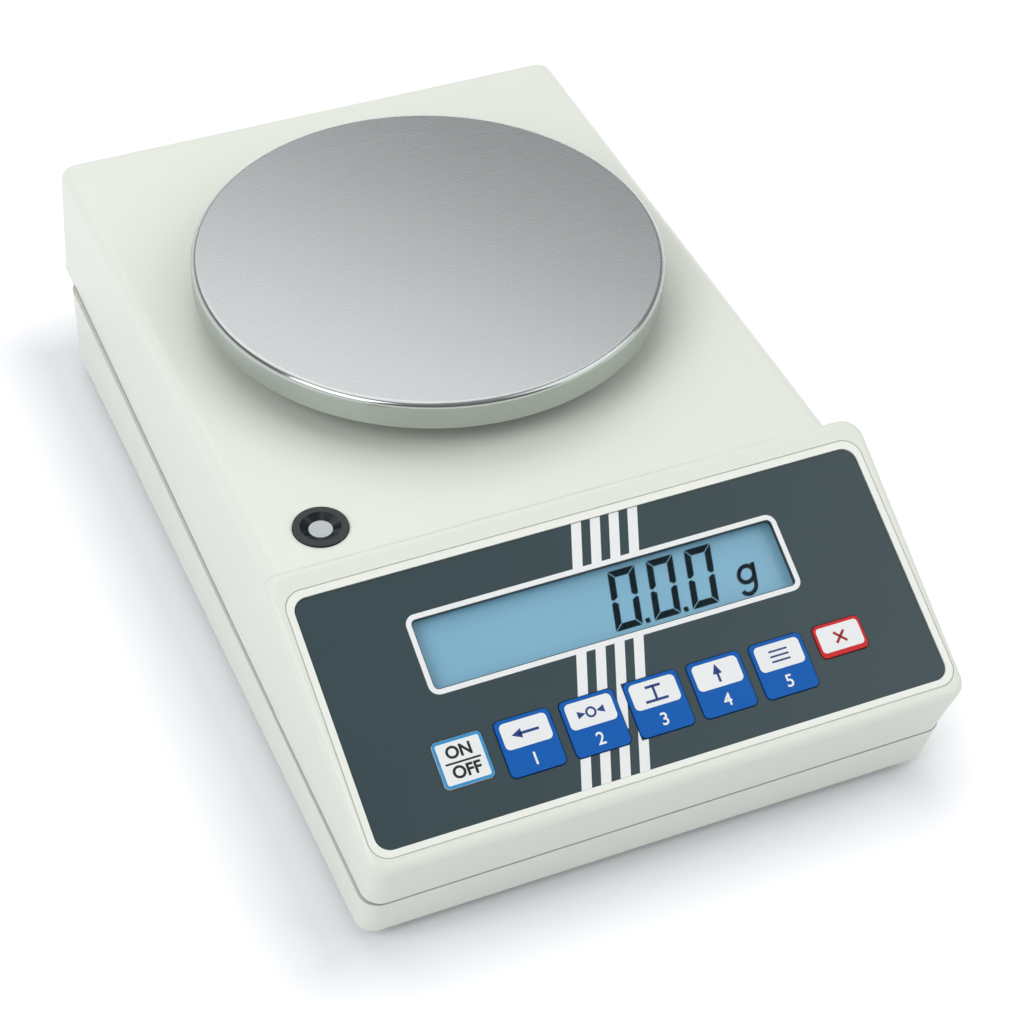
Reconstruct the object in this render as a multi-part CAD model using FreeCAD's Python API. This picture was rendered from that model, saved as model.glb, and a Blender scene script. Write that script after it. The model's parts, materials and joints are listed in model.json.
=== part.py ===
import FreeCAD, Part
import math
import os

os.makedirs("parts", exist_ok=True)

Vec = FreeCAD.Vector

# A precision balance: a moulded casing in two halves, a load cell that
# carries a round steel pan, and a sloping panel with a display and seven keys.
# Millimetres. The origin is on the table under the middle of the casing,
# -Y is the side of the keys and +Z is up.

# Casing
case_depth = 306.0
top_width = 183.0
side_draft = 2.1
lip_step = 0.9
lip_draft = 0.5
pod_step = 5.5
top_height = 77.0
foot_height = 4.0
case_wall = 2.5
base_floor = 2.5
seam_inset = 7.0
seam_front_height = 21.7
seam_tilt = 2.8
seam_gap = 0.5
base_inset = 4.5
rear_overhang = 12.0
rear_corner = 5.5
pod_front_corner = 6.0
pod_back_corner = 6.5
top_round = 4.0
nose_round = 2.5
base_round = 1.5
clearance = 0.3
overrun = 1.0

# Sloping panel
panel_tilt = 26.0
pod_depth = 90.0
pod_crest = 7.8
pod_rise = 8.05
panel_from_crest = 47.37
slope_wall = 5.0
bezel_side = 6.35
rim_side = 2.45
rim_top = 2.75
rebate_depth = 2.6
rebate_round = 6.0
pod_opening_inset = 4.1
groove_gap = 0.35
overlay_half_height = 38.55
overlay_round = 4.5
overlay_thickness = 0.6
overlay_sink = 0.5
insert_under = 1.0

# Display window
window_x = -1.5
window_v = 12.6
window_width = 116.0
window_height = 21.8
window_round = 1.6
display_border = 3.0
lens_thickness = 1.0
lens_ledge = 1.0
lens_lap = 1.2
display_thickness = 1.8
backlight_thickness = 2.8
board_thickness = 1.6
front_board_inset = 6.65
front_board_low_margin = 4.5
front_board_high_margin = 6.5

# Keys
key_count = 7
key_middle_x = 1.9
key_pitch = 20.3
key_width = 17.0
key_low = -29.5
key_high = -12.3
on_key_width = 15.2
on_key_low = -27.2
on_key_high = -13.0
last_key_width = 15.4
last_key_low = -22.6
last_key_high = -12.4
key_round = 1.6
key_sink = 0.1
key_flange = 0.9
key_flange_thick = 0.9
key_post = 2.2
key_travel = 0.5
dome_radius = 3.4
dome_height = 1.0

# Weighing pan and what carries it
pan_diameter = 152.0
pan_from_rear = 112.4
pan_clear = 9.4
pan_rim = 9.2
pan_sheet = 1.2
pan_round = 2.0
spider_arm = 10.0
arm_count = 4
spider_thick = 2.6
spider_inset = 18.0
spider_sink = 1.6
buffer_radius = 4.0
buffer_inset = 22.0
hub_radius = 9.0
hub_hole = 12.5
hub_collar = 2.0
hub_collar_height = 2.5
hub_screw_radius = 2.0

# Load cell
cell_width = 30.0
cell_height = 22.0
cell_length = 130.0
cell_behind_pan = 64.4
cell_bore = 7.0
cell_bore_apart = 26.0
cell_slot = 3.0
spacer_thick = 4.0
spacer_length = 26.0
arm_width = 24.0
arm_thick = 4.0
chassis_half = 40.0
chassis_lift = 2.5
chassis_thick = 4.0
chassis_front_margin = 7.0
chassis_rear_margin = 5.0
cell_screw_radius = 2.5
cell_screw_apart = 14.0
stop_radius = 3.0
stop_gap = 0.5
stop_inset = 7.0

# Fasteners
screw_radius = 1.5
screw_head = 3.0
screw_head_height = 2.0
drive_share = 0.6
post_radius = 4.5
rib_thick = 2.0
nose_boss_share = 0.78
washer_gap = 0.2

# Level
level_from_side = 20.8
level_from_pod = 13.7
level_ring_radius = 8.4
level_ring_lip = 0.7
level_flat = 2.2
level_vial_radius = 3.6
level_vial_sink = 0.5
level_depth = 9.0
level_bubble_radius = 1.4
level_bubble_depth = 0.8

# Feet
foot_from_side = 16.5
foot_from_front = 29.5
foot_from_rear = 29.0
foot_pad_radius = 9.0
foot_pad_height = 2.0
foot_disk_radius = 11.0
foot_disk_height = 5.0
foot_pocket_radius = 13.0
foot_pocket_height = 6.0
foot_stud_radius = 3.0
foot_stud_play = 0.05
foot_stud_length = 20.0
foot_nut_radius = 6.0
foot_nut_height = 6.0
foot_knurls = 24
foot_knurl_radius = 0.8

# Main board and rear sockets
main_board_gap = 1.5
main_board_depth = 23.0
main_board_from_rear = 4.0
main_board_lift = 5.5
socket_lift = 6.4
power_from_side = 13.0
power_radius = 5.5
power_bore = 3.2
power_pin_radius = 1.0
power_length = 13.0
power_proud = 3.0
power_nut_radius = 7.5
power_nut_thick = 2.0
serial_from_side = 28.0
serial_width = 16.9
serial_tall = 8.3
serial_flange_width = 31.0
serial_flange_tall = 12.5
serial_flange_thick = 1.0
serial_depth = 8.0
serial_proud = 5.8
serial_wall = 0.5
jack_spacing = 25.0
jack_radius = 2.4
jack_bore = 1.2
jack_length = 5.0
ribbon_inset = 8.0
ribbon_width = 14.0
ribbon_thick = 0.9
ribbon_plug_v = -20.0
ribbon_end_inset = 11.0
ribbon_rise = 2.0
ribbon_drop = 4.0
plug_width = 5.0
plug_height = 5.0
serial_pin_pitch = 2.77
serial_row_gap = 2.84
serial_pin_radius = 0.5
row_pin_count = 5
chip_length = 14.0
chip_width = 9.0
chip_height = 2.4
can_radius = 4.0
can_height = 9.0
can_shares = (-0.66, 0.34)
chip_shares = (-0.38, 0.0)
chip_inset = 6.0

# Heights and places worked out from the values above

full_turn = 360.0
arm_turn = full_turn / arm_count
slope_rise = math.sin(math.radians(panel_tilt))
slope_run = math.cos(math.radians(panel_tilt))
seam_slope = math.tan(math.radians(seam_tilt))

seam_width = top_width + side_draft + side_draft
lip_width = seam_width + lip_step + lip_step
base_width = lip_width - lip_draft - lip_draft
pod_width = top_width + pod_step + pod_step
seam_front_y = seam_inset - case_depth / 2
base_front_y = seam_front_y + base_inset
base_rear_y = case_depth / 2 - rear_overhang
pod_back_y = pod_depth - case_depth / 2
pod_top_y = pod_back_y - pod_crest
pod_top_z = top_height + pod_rise
floor_high = foot_height + base_floor

overlay_half = pod_width / 2 - bezel_side
rebate_half = overlay_half + rim_side
rebate_low = -overlay_half_height - rim_side
rebate_high = overlay_half_height + rim_top
overlay_low = -overlay_sink - overlay_thickness
insert_low = -rebate_depth - insert_under
lens_high = overlay_low - lens_ledge
lens_low = lens_high - lens_thickness
display_high = insert_low - washer_gap - washer_gap
display_low = display_high - display_thickness
backlight_low = display_low - backlight_thickness
board_low = backlight_low - board_thickness
dome_high = backlight_low + dome_height
flange_high = insert_low - washer_gap
front_board_half = overlay_half - front_board_inset
front_board_low = key_low - front_board_low_margin
front_board_high = window_v + window_height / 2 + front_board_high_margin

pan_radius = pan_diameter / 2
pan_y = case_depth / 2 - pan_from_rear
pan_low = top_height + pan_clear
pan_top = pan_low + pan_rim
spider_low = pan_low + spider_sink
spider_reach = pan_radius - spider_inset
buffer_place = pan_radius - buffer_inset
chassis_low = floor_high + chassis_lift
chassis_high = chassis_low + chassis_thick
cell_rear_y = pan_y + cell_behind_pan
cell_front_y = cell_rear_y - cell_length
chassis_front_y = cell_front_y - chassis_front_margin
chassis_rear_y = cell_rear_y + chassis_rear_margin
stop_y = cell_front_y + stop_inset
cell_low = chassis_high + spacer_thick
cell_high = cell_low + cell_height
arm_low = cell_high + spacer_thick
arm_high = arm_low + arm_thick

level_x = level_from_side - top_width / 2
level_y = pod_back_y + level_from_pod
foot_x = top_width / 2 - foot_from_side
foot_front_y = base_front_y + foot_from_front
foot_rear_y = base_rear_y - foot_from_rear
main_board_half = foot_x - foot_pocket_radius - case_wall - main_board_gap
main_board_rear_y = base_rear_y - main_board_from_rear
main_board_front_y = main_board_rear_y - main_board_depth
main_board_low = floor_high + main_board_lift
main_board_high = main_board_low + board_thickness
socket_height = main_board_high + socket_lift
power_x = power_from_side - main_board_half
serial_x = main_board_half - serial_from_side
ribbon_x = main_board_half - ribbon_inset
ribbon_end_y = main_board_rear_y - ribbon_end_inset


def seam_height(y):
    return seam_front_height + seam_slope * (y - seam_front_y)


def slope_height(y):
    return pod_top_z + (y - pod_top_y) * slope_rise / slope_run


# The sloping face falls from the crest and the front face leans up from the seam.
# Both touch the round of the nose, whose foremost point is at half the casing's depth.
# The result is where they would meet without the round, and the lean of the front.
def nose_point():
    centre_y = nose_round - case_depth / 2
    centre_z = slope_height(centre_y) - nose_round / slope_run
    forward, up = seam_front_y - centre_y, centre_z - seam_front_height
    lean = math.atan2(forward, up) + math.asin(nose_round / math.hypot(forward, up))
    steep = math.tan(lean) * slope_rise / slope_run
    z = (slope_height(seam_front_y) + seam_front_height * steep) / (1 + steep)
    return seam_front_y - (z - seam_front_height) * math.tan(lean), z, lean


nose_y, nose_z, front_lean = nose_point()
panel_y = pod_top_y - panel_from_crest * slope_run
panel_z = pod_top_z - panel_from_crest * slope_rise
panel_place = FreeCAD.Placement(Vec(0, panel_y, panel_z), FreeCAD.Rotation(Vec(1, 0, 0), panel_tilt))


# Basic solids

def box(x0, x1, y0, y1, z0, z1):
    return Part.makeBox(x1 - x0, y1 - y0, z1 - z0, Vec(x0, y0, z0))


def cylinder(radius, x, y, z0, z1):
    return Part.makeCylinder(radius, z1 - z0, Vec(x, y, z0))


def along_y(radius, x, y0, y1, z):
    return Part.makeCylinder(radius, y1 - y0, Vec(x, y0, z), Vec(0, 1, 0))


def along_x(radius, x0, x1, y, z):
    return Part.makeCylinder(radius, x1 - x0, Vec(x0, y, z), Vec(1, 0, 0))


def rounded_wire(x0, x1, y0, y1, z, radius):
    slant = radius * (1 - math.sqrt(0.5))
    corners = []
    for cx, cy, sx, sy in ((x1, y0, 1, -1), (x1, y1, 1, 1), (x0, y1, -1, 1), (x0, y0, -1, -1)):
        along = Vec(cx - sx * radius, cy, z)
        across = Vec(cx, cy - sy * radius, z)
        middle = Vec(cx - sx * slant, cy - sy * slant, z)
        ends = (along, across) if sx * sy < 0 else (across, along)
        corners.append((ends[0], middle, ends[1]))
    edges = []
    for number, (start, middle, end) in enumerate(corners):
        edges.append(Part.Arc(start, middle, end).toShape())
        following = corners[(number + 1) % len(corners)][0]
        edges.append(Part.makeLine(end, following))
    return Part.Wire(edges)


def plate(x0, x1, y0, y1, z0, z1, radius):
    face = Part.Face(rounded_wire(x0, x1, y0, y1, z0, radius))
    return face.extrude(Vec(0, 0, z1 - z0))


def drafted(low, low_z, high, high_z, radius):
    wires = [rounded_wire(*low, low_z, radius), rounded_wire(*high, high_z, radius)]
    return Part.makeLoft(wires, True, True)


def join(shapes):
    return shapes[0].fuse(shapes[1:]).removeSplitter() if len(shapes) > 1 else shapes[0]


def group(shapes):
    return Part.makeCompound(shapes)


def on_panel(shape):
    placed = shape.copy()
    placed.Placement = panel_place
    return placed


# A screw that stands on its head, with the shank going up
def screw_up(x, y, head_z, tip_z, radius=screw_radius, head=screw_head, head_height=screw_head_height):
    drive = cylinder(radius * drive_share, x, y, head_z - overrun, head_z + head_height / 2)
    body = join([cylinder(head, x, y, head_z, head_z + head_height), cylinder(radius, x, y, head_z, tip_z)])
    return body.cut(drive)


# A screw with its head at the top and its shank going down
def screw_down(x, y, head_z, tip_z, radius=screw_radius, head=screw_head, head_height=screw_head_height):
    drive = cylinder(radius * drive_share, x, y, head_z - head_height / 2, head_z + overrun)
    body = join([cylinder(head, x, y, head_z - head_height, head_z), cylinder(radius, x, y, tip_z, head_z)])
    return body.cut(drive)


# Outline of the panel housing seen from the side, walls moved in by gaps

def line_inset(points, gaps):
    moved = []
    count = len(points)
    for number in range(count):
        start, end = points[number], points[(number + 1) % count]
        run_y, run_z = end[0] - start[0], end[1] - start[1]
        length = math.hypot(run_y, run_z)
        shift = gaps[number] / length
        moved.append((start[0] - run_z * shift, start[1] + run_y * shift, run_y, run_z))
    corners = []
    for number in range(count):
        y0, z0, dy0, dz0 = moved[number - 1]
        y1, z1, dy1, dz1 = moved[number]
        cross = dy0 * dz1 - dz0 * dy1
        share = ((y1 - y0) * dz1 - (z1 - z0) * dy1) / cross
        corners.append((y0 + dy0 * share, z0 + dz0 * share))
    return corners


def pod_outline():
    low_y = seam_front_y + math.tan(front_lean) * (seam_front_height - floor_high)
    front = [(nose_y, nose_z), (low_y, floor_high)]
    return front + [(pod_back_y, floor_high), (pod_back_y, top_height), (pod_top_y, pod_top_z)]


def wedge(points, half):
    corners = [Vec(-half, y, z) for y, z in points]
    return Part.Face(Part.makePolygon(corners + corners[:1])).extrude(Vec(half + half, 0, 0))


# Sides of the panel housing, which lean in towards the seam
def pod_sides(inset):
    wide = pod_width / 2 - inset
    narrow = seam_width / 2 - inset
    lean = (wide - narrow) / (pod_top_z - seam_front_height)
    low = narrow - lean * (seam_front_height - foot_height)
    high = wide + lean * top_round
    high_z = pod_top_z + top_round
    ends = [Vec(-low, 0, foot_height), Vec(low, 0, foot_height), Vec(high, 0, high_z), Vec(-high, 0, high_z)]
    face = Part.Face(Part.makePolygon(ends + ends[:1]))
    face.translate(Vec(0, -case_depth, 0))
    return face.extrude(Vec(0, case_depth, 0))


def upright_edges(shape, near_front):
    middle = (nose_y + pod_back_y) / 2
    found = []
    for edge in shape.Edges:
        ends = [vertex.Point for vertex in edge.Vertexes]
        sideways = all(abs(end.x) > seam_width / 4 for end in ends) and ends[0].x * ends[1].x > 0
        front = all(end.y < middle - pod_front_corner for end in ends)
        back = all(end.y > middle + pod_back_corner for end in ends)
        if sideways and (front if near_front else back):
            found.append(edge)
    return found


def pod_solid(inset, slope_inset):
    gaps = [inset, 0, inset, inset, slope_inset]
    outline = line_inset(pod_outline(), gaps) if inset else pod_outline()
    solid = wedge(outline, pod_width).common(pod_sides(inset))
    solid = solid.makeFillet(pod_front_corner - inset, upright_edges(solid, True))
    return solid.makeFillet(pod_back_corner - inset, upright_edges(solid, False))


def slope_edges(shape):
    outward = Vec(0, -slope_rise, slope_run)
    tops = [face for face in shape.Faces if face.normalAt(0, 0).getAngle(outward) < math.radians(seam_tilt)]
    return max(tops, key=lambda face: face.Area).Edges


def top_edges(shape, height):
    found = []
    for edge in shape.Edges:
        if all(abs(vertex.Point.z - height) < clearance for vertex in edge.Vertexes):
            found.append(edge)
    return found


# Body of the upper housing behind the panel, from below the seam to the top
def body_solid(inset):
    front = pod_back_y - pod_back_corner - top_round
    rear = case_depth / 2 - inset
    high = top_width / 2 - inset
    seam = seam_width / 2 - inset
    lean = (seam - high) / (top_height - seam_height(0))
    low = seam + lean * (seam_height(0) - floor_high)
    top = top_height - inset
    radius = rear_corner - inset
    return drafted((-low, low, front, rear), floor_high, (-high, high, front, rear), top, radius)


def below_seam(lift):
    reach = case_depth
    ends = [(reach, seam_height(reach) + lift), (-reach, seam_height(-reach) + lift)]
    return wedge([(-reach, -reach), (reach, -reach)] + ends, reach)


def boss_places():
    front = pod_back_y + post_radius + post_radius
    rear = base_rear_y - case_wall - post_radius - post_radius
    side = top_width / 2 - case_wall - post_radius - clearance
    return [(x, y) for x in (-side, side) for y in (front, rear)]


def nose_boss_places():
    side = seam_width / 2 - case_wall - post_radius - pod_front_corner
    return [(x, base_front_y + case_wall + post_radius + clearance) for x in (-side, side)]


# Top of a nose boss, a share of the room between the seam and the screws of the front board
def nose_boss_top(y):
    low = seam_height(y)
    room = slope_height(y - post_radius) + (board_low - screw_head_height) / slope_run - low
    return low + nose_boss_share * room


# Boss behind the front wall, tied to it by a rib
def nose_boss(x, y, outside):
    low, high = seam_height(y), nose_boss_top(y)
    rib = box(x - rib_thick / 2, x + rib_thick / 2, nose_y, y, low, high)
    return cylinder(post_radius, x, y, low, high).fuse(rib.common(outside))


# Each housing screw as its place and the height of its tip
def housing_screw_tips():
    tips = [(x, y, seam_height(y) + post_radius) for x, y in boss_places()]
    return tips + [(x, y, (seam_height(y) + nose_boss_top(y)) / 2) for x, y in nose_boss_places()]


# Upper half of the casing, with the panel housing, hub collar and bosses
def upper_housing():
    body = body_solid(0)
    body = body.makeFillet(top_round, top_edges(body, top_height))
    pod = pod_solid(0, 0)
    pod = pod.makeFillet(nose_round, slope_edges(pod))
    outside = body.fuse(pod)
    inside = body_solid(case_wall).fuse(pod_solid(case_wall, slope_wall))
    shell = outside.cut(inside)
    collar = cylinder(hub_hole + hub_collar, 0, pan_y, top_height - case_wall, top_height + hub_collar_height)
    well_low = top_height - level_depth
    well = cylinder(level_ring_radius + hub_collar, level_x, level_y, well_low, top_height - case_wall)
    shell = shell.fuse([collar, well])
    for x, y in boss_places():
        shell = shell.fuse(cylinder(post_radius, x, y, seam_height(y), top_height - case_wall / 2))
    for x, y in nose_boss_places():
        shell = shell.fuse(nose_boss(x, y, outside))
    shell = shell.cut(below_seam(seam_gap / 2))
    shell = shell.cut(cylinder(hub_hole, 0, pan_y, top_height - level_depth, top_height + level_depth))
    shell = shell.cut(level_hole())
    shell = shell.cut(panel_hole())
    for x, y, tip in housing_screw_tips():
        shell = shell.cut(cylinder(screw_radius, x, y, 0, tip + overrun))
    return shell


def level_hole():
    ring = level_ring_radius + washer_gap
    wide = cylinder(ring, level_x, level_y, top_height - overrun, top_height + overrun)
    cup_low = top_height - level_depth + overrun
    cup = cylinder(level_vial_radius + overrun + washer_gap, level_x, level_y, cup_low, top_height)
    return wide.fuse(cup)


def panel_hole():
    half = rebate_half
    rebate = plate(-half, half, rebate_low, rebate_high, -rebate_depth, slope_wall, rebate_round)
    inset = pod_opening_inset
    low, high = rebate_low + inset, rebate_high - inset
    half = rebate_half - inset
    through = plate(-half, half, low, high, -slope_wall - slope_wall, 0, rebate_round - inset / 2)
    return on_panel(rebate.fuse(through))


# Lower half of the casing: floor, walls up to the seam, and posts

def base_block(inset, low_z):
    front_slope = (seam_front_y - base_front_y) / (seam_front_height - foot_height)
    side_slope = (lip_width - base_width) / 2 / (seam_height(0) - foot_height)
    high_z = seam_height(base_rear_y) + post_radius
    wires = []
    for z in (low_z, high_z):
        side = base_width / 2 + side_slope * (z - foot_height) - inset
        front = base_front_y + front_slope * (z - foot_height) + inset
        wires.append(((-side, side, front, base_rear_y - inset), z))
    return drafted(wires[0][0], wires[0][1], wires[1][0], wires[1][1], pod_front_corner - inset)


def foot_places():
    return [(x, y) for y in (foot_front_y, foot_rear_y) for x in (-foot_x, foot_x)]


def chassis_posts():
    side = chassis_half - post_radius
    ends = (chassis_front_y + post_radius, chassis_rear_y - post_radius)
    return [(x, y) for x in (-side, side) for y in ends]


def board_posts():
    side = main_board_half - post_radius
    return [(x, main_board_front_y + post_radius) for x in (-side, side)]


def foot_tower_height():
    return foot_height + foot_pocket_height + base_floor + foot_nut_height


def base_tray():
    outside = base_block(0, foot_height)
    outside = outside.makeFillet(base_round, top_edges(outside, foot_height))
    shell = outside.cut(base_block(case_wall, floor_high))
    for x, y in foot_places():
        shell = shell.fuse(cylinder(foot_pocket_radius + case_wall, x, y, foot_height, foot_tower_height()))
    for x, y in chassis_posts():
        shell = shell.fuse(cylinder(post_radius, x, y, foot_height, chassis_low))
    for x, y in board_posts():
        shell = shell.fuse(cylinder(post_radius, x, y, foot_height, main_board_low))
    for x, y in boss_places() + nose_boss_places():
        shell = shell.fuse(cylinder(post_radius, x, y, foot_height, seam_height(y) + post_radius))
    above = case_depth
    upper = box(-above, above, -above, above, foot_height, above).cut(below_seam(-seam_gap / 2))
    inner = base_block(case_wall, foot_height).cut(below_seam(seam_gap / 2))
    shell = shell.cut(upper.cut(inner))
    shell = shell.cut(inner)
    for x, y in foot_places():
        pocket_high = foot_height + foot_pocket_height
        nut_low = pocket_high + base_floor
        shell = shell.cut(cylinder(foot_pocket_radius, x, y, 0, pocket_high))
        shell = shell.cut(cylinder(foot_stud_radius + clearance, x, y, 0, foot_tower_height() + overrun))
        shell = shell.cut(cylinder(foot_nut_radius, x, y, nut_low, foot_tower_height() + overrun))
    screw_low = floor_high - base_floor / 2
    for x, y in chassis_posts() + board_posts():
        shell = shell.cut(cylinder(screw_radius, x, y, screw_low, main_board_low + overrun))
    for x, y in boss_places() + nose_boss_places():
        shell = shell.cut(cylinder(screw_radius + clearance, x, y, 0, seam_height(y) + post_radius))
        shell = shell.cut(cylinder(screw_head + clearance, x, y, 0, floor_high + clearance))
    return shell.cut(rear_holes())


def rear_holes():
    near, far = base_rear_y - case_wall - overrun, base_rear_y + overrun
    power = along_y(power_radius, power_x, near, far, socket_height)
    side = serial_width / 2 + clearance
    tall = serial_tall / 2 + clearance
    serial = box(serial_x - side, serial_x + side, near, far, socket_height - tall, socket_height + tall)
    holes = [power, serial]
    for sign in (-1, 1):
        x = serial_x + sign * jack_spacing / 2
        holes.append(along_y(jack_bore + clearance, x, near, far, socket_height))
    return holes[0].fuse(holes[1:])


def housing_screws():
    screws = []
    for x, y, tip in housing_screw_tips():
        screws.append(screw_up(x, y, floor_high + clearance - screw_head_height, tip))
    return group(screws)


# Panel insert with its raised rim, display window and key holes

# Each key as its middle, its width and its lower and upper edge
def key_places():
    middle = (key_count - 1) / 2
    sizes = [(key_width, key_low, key_high)] * key_count
    sizes[0] = (on_key_width, on_key_low, on_key_high)
    sizes[-1] = (last_key_width, last_key_low, last_key_high)
    return [(key_middle_x + (number - middle) * key_pitch, *sizes[number]) for number in range(key_count)]


def key_outline(key, grow, low, high):
    x, width, key_bottom, key_top = key
    half = width / 2 + grow
    return plate(x - half, x + half, key_bottom - grow, key_top + grow, low, high, key_round + grow)


def window_solid(grow, low, high):
    half, tall = window_width / 2 + grow, window_height / 2 + grow
    x0, x1, v0, v1 = window_x - half, window_x + half, window_v - tall, window_v + tall
    return plate(x0, x1, v0, v1, low, high, window_round + grow)


def panel_insert():
    gap = groove_gap
    low, high = rebate_low + gap, rebate_high - gap
    rim = plate(-rebate_half + gap, rebate_half - gap, low, high, -rebate_depth, 0, rebate_round - gap)
    inset = pod_opening_inset + clearance
    low, high = rebate_low + inset, rebate_high - inset
    half = rebate_half - inset
    body = plate(-half, half, low, high, insert_low, -overrun, rebate_round - pod_opening_inset / 2)
    half, tall = overlay_half + washer_gap / 2, overlay_half_height + washer_gap / 2
    tray = plate(-half, half, -tall, tall, overlay_low, overrun, overlay_round)
    insert = rim.fuse(body).cut(tray)
    insert = insert.cut(window_solid(0, insert_low - overrun, 0))
    insert = insert.cut(window_solid(lens_lap, insert_low - overrun, lens_high))
    for key in key_places():
        insert = insert.cut(key_outline(key, clearance, insert_low - overrun, 0))
    return on_panel(insert.removeSplitter())


# Printed foil that covers the panel, open at the window and the keys
def panel_overlay():
    half, tall = overlay_half, overlay_half_height
    foil = plate(-half, half, -tall, tall, overlay_low, -overlay_sink, overlay_round)
    foil = foil.cut(window_solid(0, overlay_low - overrun, 0))
    for key in key_places():
        foil = foil.cut(key_outline(key, clearance, overlay_low - overrun, 0))
    return on_panel(foil)


def display_lens():
    return on_panel(window_solid(lens_lap - washer_gap / 2, lens_low, lens_high))


def display_frame(low, high, border):
    half, tall = window_width / 2 + border, window_height / 2 + border
    return box(window_x - half, window_x + half, window_v - tall, window_v + tall, low, high)


def display_panel():
    return on_panel(display_frame(display_low, display_high, display_border / 2))


def display_backlight():
    return on_panel(display_frame(backlight_low, display_low, display_border / 2))


def front_board_places():
    side = front_board_half - post_radius
    ends = (front_board_low + post_radius, front_board_high - post_radius)
    return [(x, v) for x in (-side, side) for v in ends]


def front_board():
    half = front_board_half
    board = plate(-half, half, front_board_low, front_board_high, board_low, backlight_low, overlay_round)
    hole = screw_radius + washer_gap
    for x, v in front_board_places():
        board = board.cut(cylinder(hole, x, v, board_low - overrun, backlight_low + overrun))
    return on_panel(board)


# Pillars that hold the front board under the insert
def front_board_pillars():
    pillars = []
    for x, v in front_board_places():
        pillar = cylinder(post_radius - overrun, x, v, backlight_low, insert_low)
        thread = cylinder(screw_radius, x, v, backlight_low - overrun, insert_low - overrun)
        pillars.append(pillar.cut(thread))
    return on_panel(group(pillars))


def front_board_screws():
    screws = []
    for x, v in front_board_places():
        screws.append(screw_up(x, v, board_low - screw_head_height, insert_low - overrun - washer_gap))
    return on_panel(group(screws))


def key_domes():
    domes = []
    for x, _, bottom, top in key_places():
        middle = (bottom + top) / 2
        domes.append(Part.makeCone(dome_radius, dome_radius / 2, dome_height, Vec(x, middle, backlight_low)))
    return on_panel(group(domes))


# One key: cap, flange that keeps it behind the insert, and a short post
def panel_key(key):
    x, _, bottom, top = key
    cap = key_outline(key, 0, flange_high - key_flange_thick, -key_sink)
    flange = key_outline(key, key_flange + clearance, flange_high - key_flange_thick, flange_high)
    post = cylinder(key_post, x, (bottom + top) / 2, dome_high + key_travel, flange_high)
    return on_panel(join([cap, flange, post]))


# Load cell, chassis and pan

def chassis_plate():
    half = chassis_half
    deck = plate(-half, half, chassis_front_y, chassis_rear_y, chassis_low, chassis_high, post_radius)
    low, high = chassis_low - overrun, chassis_high + overrun
    for x, y in chassis_posts():
        deck = deck.cut(cylinder(screw_radius + washer_gap, x, y, low, high))
    for y in cell_rear_screw_places():
        deck = deck.cut(cylinder(cell_screw_radius + washer_gap, 0, y, low, high))
    return deck.cut(cylinder(stop_radius, 0, stop_y, low, high))


def chassis_screws():
    tip = floor_high
    return group([screw_down(x, y, chassis_high + screw_head_height, tip) for x, y in chassis_posts()])


def cell_rear_screw_places():
    middle = cell_rear_y - spacer_length / 2
    return [middle - cell_screw_apart / 2, middle + cell_screw_apart / 2]


def cell_front_screw_places():
    middle = cell_front_y + spacer_length / 2
    return [middle - cell_screw_apart / 2, middle + cell_screw_apart / 2]


def cell_rear_spacer():
    half = cell_width / 2
    spacer = box(-half, half, cell_rear_y - spacer_length, cell_rear_y, chassis_high, cell_low)
    for y in cell_rear_screw_places():
        spacer = spacer.cut(cylinder(cell_screw_radius + washer_gap, 0, y, chassis_low, cell_high))
    return spacer


def cell_rear_screws():
    screws = []
    for y in cell_rear_screw_places():
        head = chassis_low - screw_head_height
        tip = (cell_low + cell_high) / 2
        screws.append(screw_up(0, y, head, tip, cell_screw_radius, screw_head + overrun))
    return group(screws)


# Block with two joined bores that leave thin bending places
def load_cell():
    half = cell_width / 2
    block = box(-half, half, cell_front_y, cell_rear_y, cell_low, cell_high)
    middle_y = (cell_front_y + cell_rear_y) / 2
    middle_z = (cell_low + cell_high) / 2
    span = cell_bore_apart / 2
    for y in (middle_y - span, middle_y + span):
        block = block.cut(along_x(cell_bore, -cell_width, cell_width, y, middle_z))
    low, high = middle_z - cell_slot / 2, middle_z + cell_slot / 2
    block = block.cut(box(-cell_width, cell_width, middle_y - span, middle_y + span, low, high))
    for y in cell_rear_screw_places():
        block = block.cut(cylinder(cell_screw_radius, 0, y, chassis_low, middle_z))
    for y in cell_front_screw_places():
        block = block.cut(cylinder(cell_screw_radius, 0, y, middle_z, arm_high))
    return block


def cell_front_spacer():
    half = cell_width / 2
    spacer = box(-half, half, cell_front_y, cell_front_y + spacer_length, cell_high, arm_low)
    for y in cell_front_screw_places():
        hole = cylinder(cell_screw_radius + washer_gap, 0, y, cell_high - overrun, arm_low + overrun)
        spacer = spacer.cut(hole)
    return spacer


# Arm that reaches back from the free end of the cell to under the pan
def support_arm():
    half = arm_width / 2
    arm = plate(-half, half, cell_front_y, pan_y + half, arm_low, arm_high, post_radius)
    for y in cell_front_screw_places():
        hole = cylinder(cell_screw_radius + washer_gap, 0, y, arm_low - overrun, arm_high + overrun)
        arm = arm.cut(hole)
    return arm


def support_arm_screws():
    screws = []
    for y in cell_front_screw_places():
        head = arm_high + screw_head_height
        tip = (cell_low + cell_high) / 2
        screws.append(screw_down(0, y, head, tip + overrun, cell_screw_radius, screw_head + overrun))
    return group(screws)


def pan_hub():
    hub = cylinder(hub_radius, 0, pan_y, arm_high, spider_low)
    thread_low = spider_low - hub_radius - hub_radius
    return hub.cut(cylinder(hub_screw_radius, 0, pan_y, thread_low, spider_low + overrun))


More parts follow.
